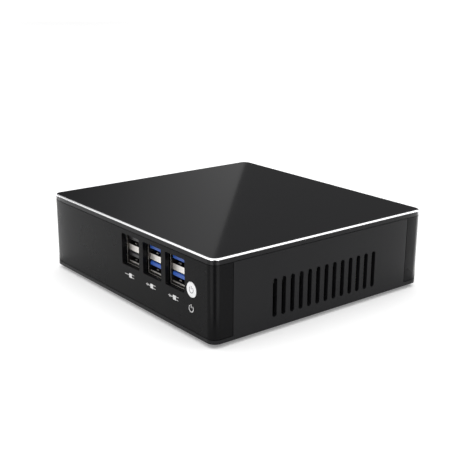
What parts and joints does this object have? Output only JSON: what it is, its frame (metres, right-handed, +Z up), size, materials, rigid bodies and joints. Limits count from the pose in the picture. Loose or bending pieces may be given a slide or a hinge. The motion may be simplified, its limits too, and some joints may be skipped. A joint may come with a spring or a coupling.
{
  "type": "mini pc",
  "caption": "Small square desktop computer in a low black case, with a gloss top framed by a bright edge, stacked ports and a round button in front, and vented sides.",
  "frame": {"origin": "centre of the case's outline at the level of the feet", "axes": "+X along the front to the right-hand side as seen from the front, +Y from front to back, +Z up"},
  "size_m": [0.134, 0.126, 0.039],
  "materials": {
    "chassis_paint": "satin black",
    "lid_paint": "satin black",
    "bezel_plastic": "satin black",
    "trim_metal": "diamond cut, bright",
    "plate_gloss": "piano black gloss",
    "foot_rubber": "matt",
    "screw_black": "black oxide",
    "nut_steel": "zinc",
    "button_plastic": "silver white",
    "black_plastic": "moulded",
    "board_green": "solder mask",
    "spacer_brass": "turned",
    "screw_steel": "nickel",
    "chip_black": "moulded",
    "choke_grey": "pressed powder",
    "can_aluminium": "bright",
    "cell_steel": "bright",
    "shield_steel": "tinned",
    "aerial_foil": "foil",
    "lead_black": "sleeved",
    "sink_aluminium": "extruded",
    "fan_plastic": "moulded",
    "header_plastic": "natural",
    "drive_aluminium": "satin",
    "bracket_steel": "zinc",
    "ribbon_plastic": "flat ribbon",
    "pin_metal": "bright",
    "port_metal": "nickel plated",
    "contact_gold": "gold flash",
    "tongue_black": "moulded",
    "tongue_blue": "moulded"
  },
  "bodies": {
    "case": {"aerial_leads": "lead_black", "aerials": "aerial_foil", "audio_jacks": "black_plastic", "base_chassis": "chassis_paint", "board_capacitors": "can_aluminium", "board_chips": "chip_black", "board_screws": "screw_steel", "board_standoffs": "spacer_brass", "bracket_screws": "screw_steel", "button_sleeve": "black_plastic", "case_screws": "screw_black", "cell_holder": "black_plastic", "coin_cell": "cell_steel", "data_plugs": "black_plastic", "data_ribbon": "ribbon_plastic", "dc_inlet": "black_plastic", "dc_pin": "pin_metal", "display_shells": "port_metal", "display_tongues": "black_plastic", "drive": "drive_aluminium", "drive_bracket": "bracket_steel", "fan_frame": "fan_plastic", "fan_header": "header_plastic", "fan_lead": "lead_black", "fan_screws": "screw_steel", "front_bezel": "bezel_plastic", "heatsink": "sink_aluminium", "heatsink_screws": "screw_steel", "lan_contacts": "contact_gold", "lan_jack": "port_metal", "lid_frame": "lid_paint", "memory_module": "board_green", "memory_socket": "black_plastic", "module_fixings": "screw_steel", "motherboard": "board_green", "power_inductors": "choke_grey", "processor": "chip_black", "rear_bezel": "bezel_plastic", "rubber_feet": "foot_rubber", "storage_module": "board_green", "storage_socket": "black_plastic", "switch_body": "black_plastic", "top_plate": "plate_gloss", "trim_ring": "trim_metal", "usb_left_contacts": "contact_gold", "usb_left_insulator": "tongue_black", "usb_left_shell": "port_metal", "usb_middle_contacts": "contact_gold", "usb_middle_insulator": "tongue_blue", "usb_middle_shell": "port_metal", "usb_right_contacts": "contact_gold", "usb_right_insulator": "tongue_blue", "usb_right_shell": "port_metal", "vesa_nuts": "nut_steel", "wireless_card": "shield_steel", "wireless_socket": "black_plastic"},
    "button": {"power_button": "button_plastic", "switch_plunger": "black_plastic"},
    "fan": {"fan_impeller": "fan_plastic"}
  },
  "joints": [
    {"name": "button_press", "type": "slide", "parent": "case", "child": "button", "axis": [0, 1, 0], "range_m": [0, 0.0006], "stiffness_N_per_m": 1500, "springref_m": -0.0003},
    {"name": "fan_spin", "type": "hinge", "parent": "case", "child": "fan", "pos_m": [0, 0, 0.00815], "axis": [0, 0, 1], "continuous": true}
  ]
}
